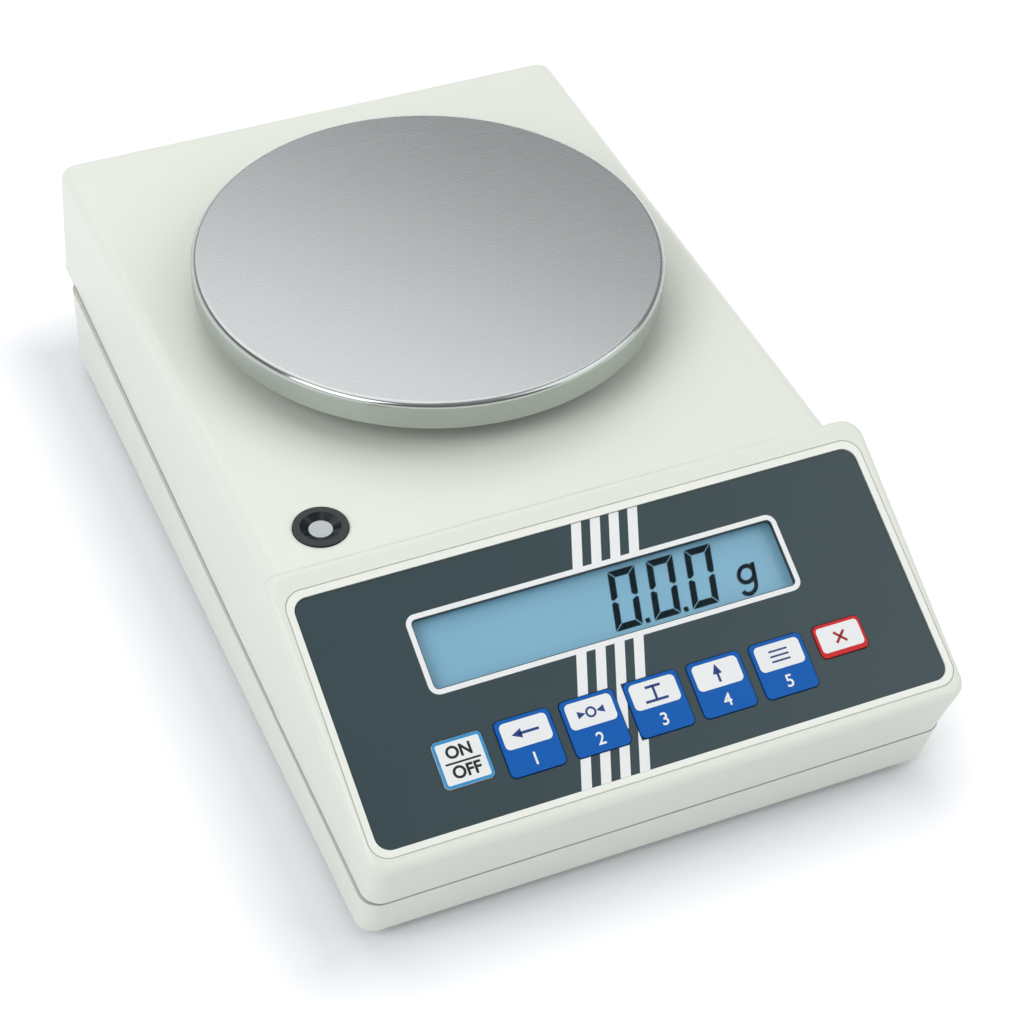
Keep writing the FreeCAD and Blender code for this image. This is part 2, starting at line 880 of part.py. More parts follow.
# Cross that spreads the load of the pan to four rubber buffers
def pan_spider():
    half = spider_arm / 2
    high = spider_low + spider_thick
    arms = [cylinder(hub_radius + hub_collar, 0, pan_y, spider_low, high)]
    for turn in (arm_turn / 2, arm_turn + arm_turn / 2):
        arm = plate(-spider_reach, spider_reach, -half, half, spider_low, high, half - overrun)
        arm.rotate(Vec(0, 0, 0), Vec(0, 0, 1), turn)
        arm.translate(Vec(0, pan_y, 0))
        arms.append(arm)
    return join(arms).cut(cylinder(hub_screw_radius + washer_gap, 0, pan_y, 0, pan_top))


def spider_screw():
    head = spider_low + spider_thick + screw_head_height
    tip = spider_low - hub_radius
    return screw_down(0, pan_y, head, tip, hub_screw_radius, screw_head + overrun)


def buffer_places():
    places = []
    for number in range(arm_count):
        turn = math.radians(arm_turn * number + arm_turn / 2)
        places.append((buffer_place * math.cos(turn), pan_y + buffer_place * math.sin(turn)))
    return places


def pan_buffers():
    high = pan_top - pan_sheet
    low = spider_low + spider_thick
    return group([cylinder(buffer_radius, x, y, low, high) for x, y in buffer_places()])


# Shallow lid of brushed steel sheet with a turned-down rim
def weighing_pan():
    outside = cylinder(pan_radius, 0, pan_y, pan_low, pan_top)
    outside = outside.makeFillet(pan_round, top_edges(outside, pan_top))
    inside = cylinder(pan_radius - pan_sheet, 0, pan_y, pan_low - overrun, pan_top - pan_sheet)
    inside = inside.makeFillet(pan_round - pan_sheet, top_edges(inside, pan_top - pan_sheet))
    return outside.cut(inside)


def overload_stop():
    high = cell_low - stop_gap
    pillar = cylinder(stop_radius, 0, stop_y, chassis_low, high)
    collar = cylinder(stop_radius + overrun, 0, stop_y, chassis_high, chassis_high + overrun)
    return join([pillar, collar])


# Bubble level

# Black ring whose top falls away to the round window in its middle
def level_ring():
    high = top_height + level_ring_lip
    low = top_height - level_depth + overrun
    ring = cylinder(level_ring_radius, level_x, level_y, top_height - overrun, high)
    cup = cylinder(level_vial_radius + overrun, level_x, level_y, low, top_height)
    floor = level_vial_top()
    middle = Vec(level_x, level_y, floor)
    funnel = Part.makeCone(level_vial_radius, level_ring_radius - level_flat, high - floor, middle)
    bore = cylinder(level_vial_radius, level_x, level_y, low + overrun, high)
    return join([ring, cup]).cut(funnel).cut(bore)


def level_vial_top():
    return top_height - level_vial_sink


# Glass vial with the hollow of its bubble closed off under the top
def level_vial():
    high = level_vial_top()
    vial = cylinder(level_vial_radius, level_x, level_y, top_height - level_depth + overrun + overrun, high)
    roof = high - washer_gap
    return vial.cut(cylinder(level_bubble_radius, level_x, level_y, roof - level_bubble_depth, roof))


# Levelling feet

def foot_pad(x, y):
    return cylinder(foot_pad_radius, x, y, 0, foot_pad_height)


def foot_screw(x, y):
    low, high = foot_pad_height, foot_pad_height + foot_disk_height
    disk = cylinder(foot_disk_radius, x, y, low, high)
    for number in range(foot_knurls):
        turn = math.radians(full_turn * number / foot_knurls)
        edge_x = x + foot_disk_radius * math.cos(turn)
        edge_y = y + foot_disk_radius * math.sin(turn)
        disk = disk.cut(cylinder(foot_knurl_radius, edge_x, edge_y, low - overrun, high + overrun))
    return join([disk, cylinder(foot_stud_radius, x, y, low, low + foot_stud_length)])


def foot_nuts():
    low = foot_height + foot_pocket_height + base_floor
    high = low + foot_nut_height
    nuts = []
    for x, y in foot_places():
        nut = cylinder(foot_nut_radius, x, y, low, high)
        thread = cylinder(foot_stud_radius + foot_stud_play, x, y, low - overrun, high + overrun)
        nuts.append(nut.cut(thread))
    return group(nuts)


# Main board and sockets

def main_board():
    half = main_board_half
    board = box(-half, half, main_board_front_y, main_board_rear_y, main_board_low, main_board_high)
    low, high = main_board_low - overrun, main_board_high + overrun
    for x, y in board_posts():
        board = board.cut(cylinder(screw_radius + washer_gap, x, y, low, high))
    return board


def board_screws():
    tip = floor_high
    return group([screw_down(x, y, main_board_high + screw_head_height, tip) for x, y in board_posts()])


def board_components():
    z = main_board_high
    y = main_board_front_y + chip_inset
    pieces = []
    long, wide = chip_length / 2, chip_width / 2
    for share in chip_shares:
        x = share * main_board_half
        pieces.append(box(x - long, x + long, y - wide, y + wide, z, z + chip_height))
    for share in can_shares:
        pieces.append(cylinder(can_radius, share * main_board_half, y, z, z + can_height))
    return group(pieces)


def power_socket():
    near = base_rear_y - case_wall
    barrel = along_y(power_radius - washer_gap / 2, power_x, near, base_rear_y + power_proud, socket_height)
    half = power_radius + overrun
    low = main_board_high
    block = box(power_x - half, power_x + half, near - power_length, near, low, socket_height + half)
    body = join([block, barrel])
    bore_end = near - power_length + overrun
    return body.cut(along_y(power_bore, power_x, bore_end, base_rear_y + power_length, socket_height))


def power_socket_pin():
    near = base_rear_y - case_wall - power_length + overrun
    return along_y(power_pin_radius, power_x, near, base_rear_y + power_proud - overrun, socket_height)


def power_socket_nut():
    far = base_rear_y + power_nut_thick
    ring = along_y(power_nut_radius, power_x, base_rear_y, far, socket_height)
    return ring.cut(along_y(power_radius, power_x, base_rear_y - overrun, far + overrun, socket_height))


def serial_block(side, tall, y0, y1):
    return box(serial_x - side, serial_x + side, y0, y1, socket_height - tall, socket_height + tall)


def serial_shell():
    near = base_rear_y - case_wall
    side, tall = serial_width / 2, serial_tall / 2
    tube = serial_block(side, tall, near - serial_flange_thick, base_rear_y + serial_proud)
    flange = serial_block(serial_flange_width / 2, serial_flange_tall / 2, near - serial_flange_thick, near)
    shell = join([tube, flange])
    near, far = near - serial_depth, base_rear_y + serial_depth
    shell = shell.cut(serial_block(side - serial_wall, tall - serial_wall, near, far))
    for sign in (-1, 1):
        x = serial_x + sign * jack_spacing / 2
        shell = shell.cut(along_y(jack_bore + washer_gap, x, near, far, socket_height))
    return shell


def serial_insert():
    near = base_rear_y - case_wall - serial_flange_thick
    side, tall = serial_width / 2, serial_tall / 2
    far = base_rear_y + serial_proud - overrun
    core = serial_block(side - serial_wall, tall - serial_wall, near, far)
    end, high = near - serial_depth, socket_height + tall
    rear = box(serial_x - side, serial_x + side, end, near, main_board_high, high)
    insert = join([core, rear])
    for row, count in ((-1, row_pin_count), (1, row_pin_count - 1)):
        for number in range(count):
            x = serial_x + (number - (count - 1) / 2) * serial_pin_pitch
            z = socket_height - row * serial_row_gap / 2
            insert = insert.cut(along_y(serial_pin_radius, x, near, base_rear_y + serial_depth, z))
    return insert


def serial_jackscrews():
    near = base_rear_y - case_wall - serial_flange_thick
    screws = []
    for sign in (-1, 1):
        x = serial_x + sign * jack_spacing / 2
        head = along_y(jack_radius, x, base_rear_y, base_rear_y + jack_length, socket_height)
        shank = along_y(jack_bore + washer_gap / 2, x, near - screw_head_height, base_rear_y, socket_height)
        nut = along_y(jack_radius, x, near - screw_head_height, near, socket_height)
        bore = along_y(jack_bore, x, base_rear_y, base_rear_y + jack_length + overrun, socket_height)
        screws.append(join([head, shank, nut]).cut(bore))
    return group(screws)


def ribbon_plug_size():
    return ribbon_width / 2 + overrun, plug_width / 2


# Plug under the front board and plug on the main board
def ribbon_plugs():
    half, deep = ribbon_plug_size()
    x0, x1 = ribbon_x - half, ribbon_x + half
    front = box(x0, x1, ribbon_plug_v - deep, ribbon_plug_v + deep, board_low - plug_height, board_low)
    high = main_board_high + plug_height
    rear = box(x0, x1, ribbon_end_y - deep, ribbon_end_y + deep, main_board_high, high)
    return group([on_panel(front), rear])


# Flat cable between the two plugs, laid low beside the chassis
def ribbon_cable():
    half = ribbon_width / 2
    start = panel_place.multVec(Vec(0, ribbon_plug_v, board_low - plug_height))
    high = main_board_high + plug_height + ribbon_rise
    drop = start + panel_place.Rotation.multVec(Vec(0, 0, -ribbon_drop))
    points = [start, drop, Vec(0, drop.y + ribbon_drop + ribbon_drop, high)]
    points += [Vec(0, ribbon_end_y, high), Vec(0, ribbon_end_y, main_board_high + plug_height)]
    strips = []
    for number in range(len(points) - 1):
        run = points[number + 1] - points[number]
        strip = box(-half, half, 0, run.Length, -ribbon_thick / 2, ribbon_thick / 2)
        tilt = math.degrees(math.atan2(run.z, run.y))
        place = points[number] + Vec(ribbon_x, 0, 0)
        strip.Placement = FreeCAD.Placement(place, FreeCAD.Rotation(Vec(1, 0, 0), tilt))
        strips.append(strip)
        if number:
            bend = points[number]
            strips.append(along_x(ribbon_thick / 2, ribbon_x - half, ribbon_x + half, bend.y, bend.z))
    return join(strips)


def save(name, shape):
    shape.exportStep("parts/" + name + ".step")


plain_parts = {
    "upper_housing": upper_housing,
    "base_tray": base_tray,
    "housing_screws": housing_screws,
    "panel_insert": panel_insert,
    "panel_overlay": panel_overlay,
    "display_lens": display_lens,
    "display_panel": display_panel,
    "display_backlight": display_backlight,
    "front_board": front_board,
    "front_board_pillars": front_board_pillars,
    "front_board_screws": front_board_screws,
    "key_domes": key_domes,
    "chassis_plate": chassis_plate,
    "chassis_screws": chassis_screws,
    "cell_rear_spacer": cell_rear_spacer,
    "cell_rear_screws": cell_rear_screws,
    "load_cell": load_cell,
    "cell_front_spacer": cell_front_spacer,
    "support_arm": support_arm,
    "support_arm_screws": support_arm_screws,
    "overload_stop": overload_stop,
    "pan_hub": pan_hub,
    "pan_spider": pan_spider,
    "spider_screw": spider_screw,
    "pan_buffers": pan_buffers,
    "weighing_pan": weighing_pan,
    "level_ring": level_ring,
    "level_vial": level_vial,
    "foot_nuts": foot_nuts,
    "main_board": main_board,
    "board_screws": board_screws,
    "board_components": board_components,
    "power_socket": power_socket,
    "power_socket_pin": power_socket_pin,
    "power_socket_nut": power_socket_nut,
    "serial_shell": serial_shell,
    "serial_insert": serial_insert,
    "serial_jackscrews": serial_jackscrews,
    "ribbon_plugs": ribbon_plugs,
    "ribbon_cable": ribbon_cable,
}

for part_name, make in plain_parts.items():
    save(part_name, make())

for number, key in enumerate(key_places()):
    save("key_" + str(number + 1), panel_key(key))

foot_names = ("front_left", "front_right", "rear_left", "rear_right")
for foot_name, (x, y) in zip(foot_names, foot_places()):
    save("foot_pad_" + foot_name, foot_pad(x, y))
    save("foot_screw_" + foot_name, foot_screw(x, y))
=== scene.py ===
import bpy
import json
import math
import numpy as np
from mathutils import Matrix, Quaternion, Vector


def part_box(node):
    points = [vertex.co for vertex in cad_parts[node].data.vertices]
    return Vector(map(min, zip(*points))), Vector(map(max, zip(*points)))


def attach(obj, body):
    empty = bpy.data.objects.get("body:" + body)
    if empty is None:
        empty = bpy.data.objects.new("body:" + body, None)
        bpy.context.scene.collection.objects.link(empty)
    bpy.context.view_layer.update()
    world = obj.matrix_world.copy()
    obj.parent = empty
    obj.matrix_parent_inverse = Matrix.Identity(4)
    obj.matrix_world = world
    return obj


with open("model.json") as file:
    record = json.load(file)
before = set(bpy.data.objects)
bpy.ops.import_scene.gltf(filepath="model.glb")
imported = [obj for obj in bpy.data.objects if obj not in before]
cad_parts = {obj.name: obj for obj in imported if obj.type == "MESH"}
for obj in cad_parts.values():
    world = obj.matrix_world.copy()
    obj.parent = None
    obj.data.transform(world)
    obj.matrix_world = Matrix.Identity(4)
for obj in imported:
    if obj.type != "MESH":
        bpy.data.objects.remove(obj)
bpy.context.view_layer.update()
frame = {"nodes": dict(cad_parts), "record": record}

nodes = frame["nodes"]
mm = 0.001
print("frame loaded:", len(nodes), "nodes")


# Small helpers for materials

def linear(hexColour):  # sRGB hex to scene linear
    parts = [int(hexColour[i:i + 2], 16) / 255 for i in (0, 2, 4)]
    return [p / 12.92 if p <= 0.04045 else ((p + 0.055) / 1.055) ** 2.4 for p in parts] + [1.0]


def addNode(tree, kind, settings={}, links={}):  # settings are attributes or sockets
    node = tree.nodes.new(kind)
    for key, value in settings.items():
        if isinstance(key, str) and hasattr(node, key):
            setattr(node, key, value)
        else:
            node.inputs[key].default_value = value
    for key, source in links.items():
        tree.links.new(source, node.inputs[key])
    return node


def newMaterial(name, settings):
    material = bpy.data.materials.new(name)
    material.use_nodes = True
    tree = material.node_tree
    shader = tree.nodes["Principled BSDF"]
    for key, value in settings.items():
        shader.inputs[key].default_value = value
    return material, tree, shader


# Colour patches, fine grain and roughness spots that most finishes share.
# Sizes are millimetres: grain is the width of one pimple, patch of one cloud.
def finish(name, colour, other, patch, grain, depth, roughness, spread=0.06, stretch=(1, 1, 1), **extra):
    material, tree, shader = newMaterial(name, extra)
    place = addNode(tree, "ShaderNodeTexCoord").outputs["Object"]
    clouds = addNode(tree, "ShaderNodeTexNoise", {"Scale": 1 / (patch * mm), "Detail": 3.0},
                     {"Vector": place})
    mix = addNode(tree, "ShaderNodeMix", {"data_type": "RGBA", 6: linear(colour), 7: linear(other)},
                  {0: clouds.outputs["Fac"]})
    tree.links.new(mix.outputs[2], shader.inputs["Base Color"])
    pull = addNode(tree, "ShaderNodeMapping", {"Scale": stretch}, {"Vector": place})
    pimples = addNode(tree, "ShaderNodeTexNoise",
                      {"Scale": 1 / (grain * mm), "Detail": 2.0, "Roughness": 0.6},
                      {"Vector": pull.outputs["Vector"]})
    spots = addNode(tree, "ShaderNodeMapRange", {"To Min": roughness - spread, "To Max": roughness + spread},
                    {"Value": pimples.outputs["Fac"]})
    tree.links.new(spots.outputs["Result"], shader.inputs["Roughness"])
    bump = addNode(tree, "ShaderNodeBump", {"Distance": depth * mm, "Strength": 1.0},
                   {"Height": pimples.outputs["Fac"]})
    tree.links.new(bump.outputs["Normal"], shader.inputs["Normal"])
    return material


finishes = {
    # injection moulded ABS: an even off-white with an eggshell grain that softens every highlight
    "housing_plastic": finish("ivoryMouldedAbs", "e8ece3", "e4e9df", 60, 0.55, 0.015, 0.34),
    # satin moulded ABS: a touch paler and smoother than the casing, so the frame stands out
    "bezel_plastic": finish("paleMouldedBezel", "f3f5ee", "eef2e9", 40, 0.5, 0.01, 0.3),
    # back printed polyester foil: deep slate, even, with a soft sheen from its fine texture
    "overlay_film": finish("slatePrintedFoil", "2e4248", "32474d", 30, 0.35, 0.006, 0.36),
    # cast acrylic: nearly unseen, only its reflections tell that it is there
    "window_clear": finish("clearAcrylic", "f4fbff", "eef8ff", 30, 2.0, 0.0, 0.05, 0.02,
                           **{"Transmission Weight": 1.0, "IOR": 1.49, "Alpha": 0.12}),
    # liquid crystal panel with a blue filter: flat, cool and slightly cloudy
    "display_glass": finish("blueLcd", "8bc0da", "85bad5", 30, 0.6, 0.0, 0.3),
    # opal acrylic: milky white without a grain
    "diffuser_white": finish("milkyDiffuser", "dfe6ea", "d6dee4", 20, 0.6, 0.004, 0.5),
    # solder mask over copper: glossy green with small ripples
    "circuit_board": finish("greenSolderMask", "14552f", "10482a", 8, 0.8, 0.01, 0.3),
    # moulded epoxy: dull black, dusty grain
    "chip_black": finish("blackEpoxy", "1b1b1d", "242427", 6, 0.3, 0.01, 0.55),
    # zinc plated steel: cool grey, slightly spotty shine
    "screw_steel": finish("zincPlatedSteel", "b9bcc0", "a9adb3", 4, 0.4, 0.01, 0.35, Metallic=1.0),
    # stainless sheet brushed one way: long faint streaks of shine and a broad soft reflection;
    # real brush lines are about 0.05 mm wide and are drawn 0.3 mm wide to show
    "pan_steel": finish("brushedStainless", "d2d6d7", "cdd2d3", 40, 0.3, 0.0, 0.27, 0.03, (0.02, 1, 1),
                        Metallic=1.0),
    # milled aluminium: pale metal with short cutter lines
    "cell_aluminium": finish("milledAluminium", "c9cccf", "bfc3c7", 20, 0.3, 0.006, 0.36, 0.08, (0.05, 1, 1),
                             Metallic=1.0),
    # rolled aluminium sheet: duller, with rolling lines along its length
    "plate_aluminium": finish("sheetAluminium", "b7babd", "adb1b5", 30, 0.3, 0.006, 0.42, 0.08, (1, 0.05, 1),
                              Metallic=1.0),
    # moulded rubber: near black and matt
    "soft_rubber": finish("blackRubber", "1e1f20", "28292a", 5, 0.5, 0.03, 0.75),
    # turned brass: warm yellow with a fine shine
    "nut_brass": finish("turnedBrass", "c49a4a", "b68a3c", 5, 0.3, 0.006, 0.32, Metallic=1.0),
    # moulded nylon: soft black
    "socket_black": finish("blackNylon", "202124", "2a2b2e", 6, 0.3, 0.01, 0.5),
    # bright nickel plate: smooth, slightly warm mirror
    "plated_shell": finish("nickelPlate", "c8c6c0", "bdbbb5", 6, 0.5, 0.004, 0.22, Metallic=1.0),
    # turned and polished black plastic: deep black with a clear edge light
    "level_black": finish("blackTurnedPlastic", "0b1017", "10161e", 5, 0.3, 0.003, 0.2, 0.03),
    # glass cap over the level's fluid: pale and glossy
    "vial_glass": finish("milkyVialGlass", "aab4b8", "b4bdc0", 3, 0.6, 0.0, 0.14, 0.02,
                         **{"Coat Weight": 1.0}),
    # printed polycarbonate key caps: flat colour, satin sheen
    "key_plastic": finish("whiteKeyPrint", "eef0f1", "e6e9ea", 10, 0.3, 0.006, 0.4),
    "key_blue": finish("blueKeyPrint", "045ab0", "0760b6", 10, 0.3, 0.006, 0.45,
                       **{"Specular IOR Level": 0.2}),
    "key_red": finish("redKeyPrint", "d3262a", "ca2226", 10, 0.3, 0.006, 0.45,
                      **{"Specular IOR Level": 0.3}),
    # PVC ribbon: grey with a line for each core
    "cable_grey": finish("greyCableSleeve", "8c8e92", "7e8085", 10, 0.4, 0.01, 0.5, 0.05, (1, 0.02, 1)),
    # nickelled steel: greyer than the socket's shell, with a finer grain
    "knurled_steel": finish("nickelledThumbwheel", "a9abad", "9b9da0", 4, 0.3, 0.008, 0.34, Metallic=1.0),
}


# The pan's edge: the bend under the flat top is polished, and the wall below it is satin, so it mirrors the
# casing softly, pale above and dark at its foot. From the bend down the steel's colour is also painted
# darker, a painted shade on the edge
edge = {"top": 95.6, "round": 2.0, "bend": (0.15, 0.6), "wall": (1.5, 2.1), "paintedShadeTint": "d9dcd5",
        "bendRoughness": 0.12, "wallRoughness": 0.27, "alike": 0.8}


# Each mask is 0 above its first depth under the top and 1 below its second. The bend's normal is
# worked out, so mirrored edges run smooth: outwards times what the radius has past the bend's
# centre, plus upwards times what the height has past it, and only where the mesh faces that way
def polishEdge(material):
    tree = material.node_tree
    shader = tree.nodes["Principled BSDF"]
    place = addNode(tree, "ShaderNodeTexCoord").outputs["Object"]
    height = addNode(tree, "ShaderNodeSeparateXYZ", {}, {0: place}).outputs["Z"]
    low, high = (np.array(corner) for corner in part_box("weighing_pan"))
    middle = (low + high) / 2
    radius = (high[0] - low[0]) / 2 - edge["round"] * mm
    centreHeight = (edge["top"] - edge["round"]) * mm
    beside = addNode(tree, "ShaderNodeVectorMath", {"operation": "SUBTRACT", 1: middle.tolist()},
                     {0: place}).outputs[0]
    beside = addNode(tree, "ShaderNodeVectorMath", {"operation": "MULTIPLY", 1: (1, 1, 0)},
                     {0: beside}).outputs[0]
    away = addNode(tree, "ShaderNodeVectorMath", {"operation": "LENGTH"}, {0: beside}).outputs["Value"]
    outwards = addNode(tree, "ShaderNodeVectorMath", {"operation": "NORMALIZE"}, {0: beside}).outputs[0]
    past = addNode(tree, "ShaderNodeMath", {"operation": "SUBTRACT", 1: radius, "use_clamp": True},
                   {0: away}).outputs[0]
    outwards = addNode(tree, "ShaderNodeVectorMath", {"operation": "SCALE"},
                       {0: outwards, "Scale": past}).outputs[0]
    rise = addNode(tree, "ShaderNodeMath", {"operation": "SUBTRACT", 1: centreHeight, "use_clamp": True},
                   {0: height}).outputs[0]
    upwards = addNode(tree, "ShaderNodeCombineXYZ", {}, {"Z": rise}).outputs[0]
    turned = addNode(tree, "ShaderNodeVectorMath", {"operation": "ADD"}, {0: outwards, 1: upwards}).outputs[0]
    toWorld = {"vector_type": "NORMAL", "convert_from": "OBJECT", "convert_to": "WORLD"}
    turned = addNode(tree, "ShaderNodeVectorTransform", toWorld, {0: turned}).outputs[0]
    turned = addNode(tree, "ShaderNodeVectorMath", {"operation": "NORMALIZE"}, {0: turned}).outputs[0]
    meshNormal = addNode(tree, "ShaderNodeNewGeometry").outputs["Normal"]
    alike = addNode(tree, "ShaderNodeVectorMath", {"operation": "DOT_PRODUCT"},
                    {0: turned, 1: meshNormal}).outputs["Value"]
    outer = addNode(tree, "ShaderNodeMath", {"operation": "GREATER_THAN", 1: edge["alike"]},
                    {0: alike}).outputs[0]
    normal = addNode(tree, "ShaderNodeMix", {"data_type": "VECTOR"},
                     {0: outer, 4: meshNormal, 5: turned}).outputs[1]
    bump = shader.inputs["Normal"].links[0].from_node
    tree.links.new(normal, bump.inputs["Normal"])
    masks = []
    for begin, end in (edge["bend"], edge["wall"]):
        depths = {"From Min": (edge["top"] - begin) * mm, "From Max": (edge["top"] - end) * mm}
        masks.append(addNode(tree, "ShaderNodeMapRange", depths, {"Value": height}).outputs["Result"])
    bend, wall = masks
    # painted shade: from the bend down the steel's colour is multiplied by a darker tint
    colour = shader.inputs["Base Color"].links[0].from_socket
    darken = {"data_type": "RGBA", "blend_type": "MULTIPLY", 7: linear(edge["paintedShadeTint"])}
    darker = addNode(tree, "ShaderNodeMix", darken, {0: bend, 6: colour})
    tree.links.new(darker.outputs[2], shader.inputs["Base Color"])
    rough = shader.inputs["Roughness"].links[0].from_socket
    smooth = addNode(tree, "ShaderNodeMix", {3: edge["bendRoughness"]}, {0: bend, 2: rough})
    satin = addNode(tree, "ShaderNodeMix", {3: edge["wallRoughness"]}, {0: wall, 2: smooth.outputs[0]})
    tree.links.new(satin.outputs[0], shader.inputs["Roughness"])


polishEdge(finishes["pan_steel"])


# Shade in the joint between the two halves: the casing's colour is darker within a short reach
# of the slanting plane height = start + slope times y
joint = {"start": 28.84, "slope": 0.0489, "above": 0.27, "reach": 0.36, "fade": 0.2, "paintedShadeTint": "8b9188"}


def shadeJoint(material):
    tree = material.node_tree
    shader = tree.nodes["Principled BSDF"]
    place = addNode(tree, "ShaderNodeTexCoord").outputs["Object"]
    axes = addNode(tree, "ShaderNodeSeparateXYZ", {}, {0: place})
    above = addNode(tree, "ShaderNodeMath", {"operation": "MULTIPLY_ADD", 1: -joint["slope"]},
                    {0: axes.outputs["Y"], 2: axes.outputs["Z"]})
    middle = (joint["start"] + joint["above"]) * mm
    apart = addNode(tree, "ShaderNodeMath", {"operation": "SUBTRACT", 1: middle}, {0: above.outputs[0]})
    apart = addNode(tree, "ShaderNodeMath", {"operation": "ABSOLUTE"}, {0: apart.outputs[0]})
    near = addNode(tree, "ShaderNodeMapRange", {"From Min": (joint["reach"] + joint["fade"]) * mm,
                                                "From Max": joint["reach"] * mm}, {"Value": apart.outputs[0]})
    colour = shader.inputs["Base Color"].links[0].from_socket
    darken = {"data_type": "RGBA", "blend_type": "MULTIPLY", 7: linear(joint["paintedShadeTint"])}
    darker = addNode(tree, "ShaderNodeMix", darken, {0: near.outputs["Result"], 6: colour})
    tree.links.new(darker.outputs[2], shader.inputs["Base Color"])


shadeJoint(finishes["housing_plastic"])
for part in frame["record"]["subparts"]:
    material = finishes[part["material_slot"]]
    mesh = nodes[part["node"]].data
    for number in range(max(1, len(mesh.materials))):
        if number < len(mesh.materials):
            mesh.materials[number] = material
        else:
            mesh.materials.append(material)
print("finishes set:", len(finishes))

# screen printed inks: a thin opaque film, satin, with clouds where the squeegee left more or less
inkWhite = finish("whiteInk", "f1f3f3", "eaedee", 12, 0.4, 0.004, 0.42)
inkBlue = finish("navyInk", "16397f", "1b4088", 6, 0.4, 0.002, 0.4)
inkBlack = finish("blackInk", "17191c", "1e2124", 6, 0.4, 0.002, 0.4)
inkRed = finish("redInk", "a81d20", "9f1a1d", 6, 0.4, 0.002, 0.4)
inkCyan = finish("cyanInk", "2b97d2", "268dc8", 6, 0.4, 0.002, 0.4)
# switched liquid crystal: almost black, a little glossy
crystalDark = finish("darkLiquidCrystal", "081a24", "0c202b", 8, 0.5, 0.0, 0.25,
                     **{"Specular IOR Level": 0.1})
# painted shade in the window's recess: a dull slate sleeve that stands in for the shadow on its walls, so the
# display looks sunk
wellPaintedShade = finish("paintedShadeWindowWell", "2a3438", "303b40", 8, 0.4, 0.004, 0.5)
# soft sealing lip in the groove round the frame: casing colour, a little darker
lipGrey = finish("paleSealingLip", "c9cec4", "c2c8bd", 20, 0.4, 0.01, 0.5)


# The sloping panel as a flat drawing board, u to the right, v up the slope and n outwards

panel = {"tilt": 26.0, "foilLow": -1.1, "foilHigh": -0.5, "foilHalfV": 38.55}
low, high = (np.array(corner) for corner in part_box("panel_overlay"))
tilt = math.radians(panel["tilt"])
panelAxes = np.array([[1, 0, 0],
                      [0, math.cos(tilt), math.sin(tilt)],
                      [0, -math.sin(tilt), math.cos(tilt)]])
foilMiddle = (panel["foilLow"] + panel["foilHigh"]) / 2
panelOrigin = (low + high) / 2 - panelAxes[2] * foilMiddle * mm


def onPanel(points):  # panel millimetres to the row frame in metres: origin plus u, v, n along the axes
    return panelOrigin + np.asarray(points, float) @ panelAxes * mm


def addPiece(name, points, faces, material, body):
    mesh = bpy.data.meshes.new(name)
    mesh.from_pydata(np.asarray(points).tolist(), [], faces)
    mesh.materials.append(material)
    mesh.update()
    piece = bpy.data.objects.new(name, mesh)
    bpy.context.collection.objects.link(piece)
    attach(piece, body)
    return piece


# Outline of a rounded rectangle: quarter circles about four corner centres, joined in order
def roundedOutline(left, right, bottom, top, radius, steps=8):
    turn = np.linspace(0, math.pi / 2, steps)
    starts = np.array([0, 1, 2, 3])[:, None] * math.pi / 2
    angle = starts + turn[None, :]
    centreU = np.array([right - radius, left + radius, left + radius, right - radius])[:, None]
    centreV = np.array([top - radius, top - radius, bottom + radius, bottom + radius])[:, None]
    corners = np.stack([centreU + radius * np.cos(angle), centreV + radius * np.sin(angle)], -1)
    return corners.reshape(-1, 2)


# Loops of equal length stacked along n and joined by quads, ends closed by one face each
def stackLoops(loops, heights):
    count = len(loops[0])
    points = np.concatenate([np.column_stack([loop, np.full(count, n)]) for loop, n in zip(loops, heights)])
    index = np.arange(count)
    following = (index + 1) % count
    faces = [list(index[::-1])]
    for row in range(len(loops) - 1):
        here, there = row * count, (row + 1) * count
        faces += np.column_stack([here + index, here + following, there + following, there + index]).tolist()
    faces.append(list((len(loops) - 1) * count + index))
    return points, [[int(i) for i in face] for face in faces]


# Ring between two loops of equal length: lower and upper face, inner and outer wall, all of quads
def ringLoops(outer, inner, low, high):
    count = len(outer)
    loops = [(outer, low), (outer, high), (inner, high), (inner, low)]
    points = np.concatenate([np.column_stack([loop, np.full(count, n)]) for loop, n in loops])
    index = np.arange(count)
    following = (index + 1) % count
    faces = []
    for row in range(4):
        here, there = row * count, (row + 1) % 4 * count
        faces += np.column_stack([here + index, here + following, there + following, there + index]).tolist()
    return points, faces


def panelPlate(name, outline, lowN, highN, material, body):
    points, faces = stackLoops([outline, outline], [lowN, highN])
    return addPiece(name, onPanel(points), faces, material, body)


def joinShapes(shapes):  # several point and face lists as one
    points, faces, base = [], [], 0
    for shapePoints, shapeFaces in shapes:
        points.append(np.asarray(shapePoints))
        faces += [[base + i for i in face] for face in shapeFaces]
        base += len(shapePoints)
    return np.concatenate(points), faces


# Keys and window as printed on the foil, in panel millimetres

keySizes = {"middleU": 1.9, "pitch": 20.3, "holeGap": 0.3,
            "width": 17.0, "low": -29.5, "high": -12.3,
            "firstWidth": 15.2, "firstLow": -27.2, "firstHigh": -13.0,
            "lastWidth": 15.4, "lastLow": -22.6, "lastHigh": -12.4}
keyU = keySizes["middleU"] + (np.arange(7) - 3) * keySizes["pitch"]
keyWidth = np.array([keySizes["firstWidth"]] + [keySizes["width"]] * 5 + [keySizes["lastWidth"]])
keyLow = np.array([keySizes["firstLow"]] + [keySizes["low"]] * 5 + [keySizes["lastLow"]])
keyHigh = np.array([keySizes["firstHigh"]] + [keySizes["high"]] * 5 + [keySizes["lastHigh"]])

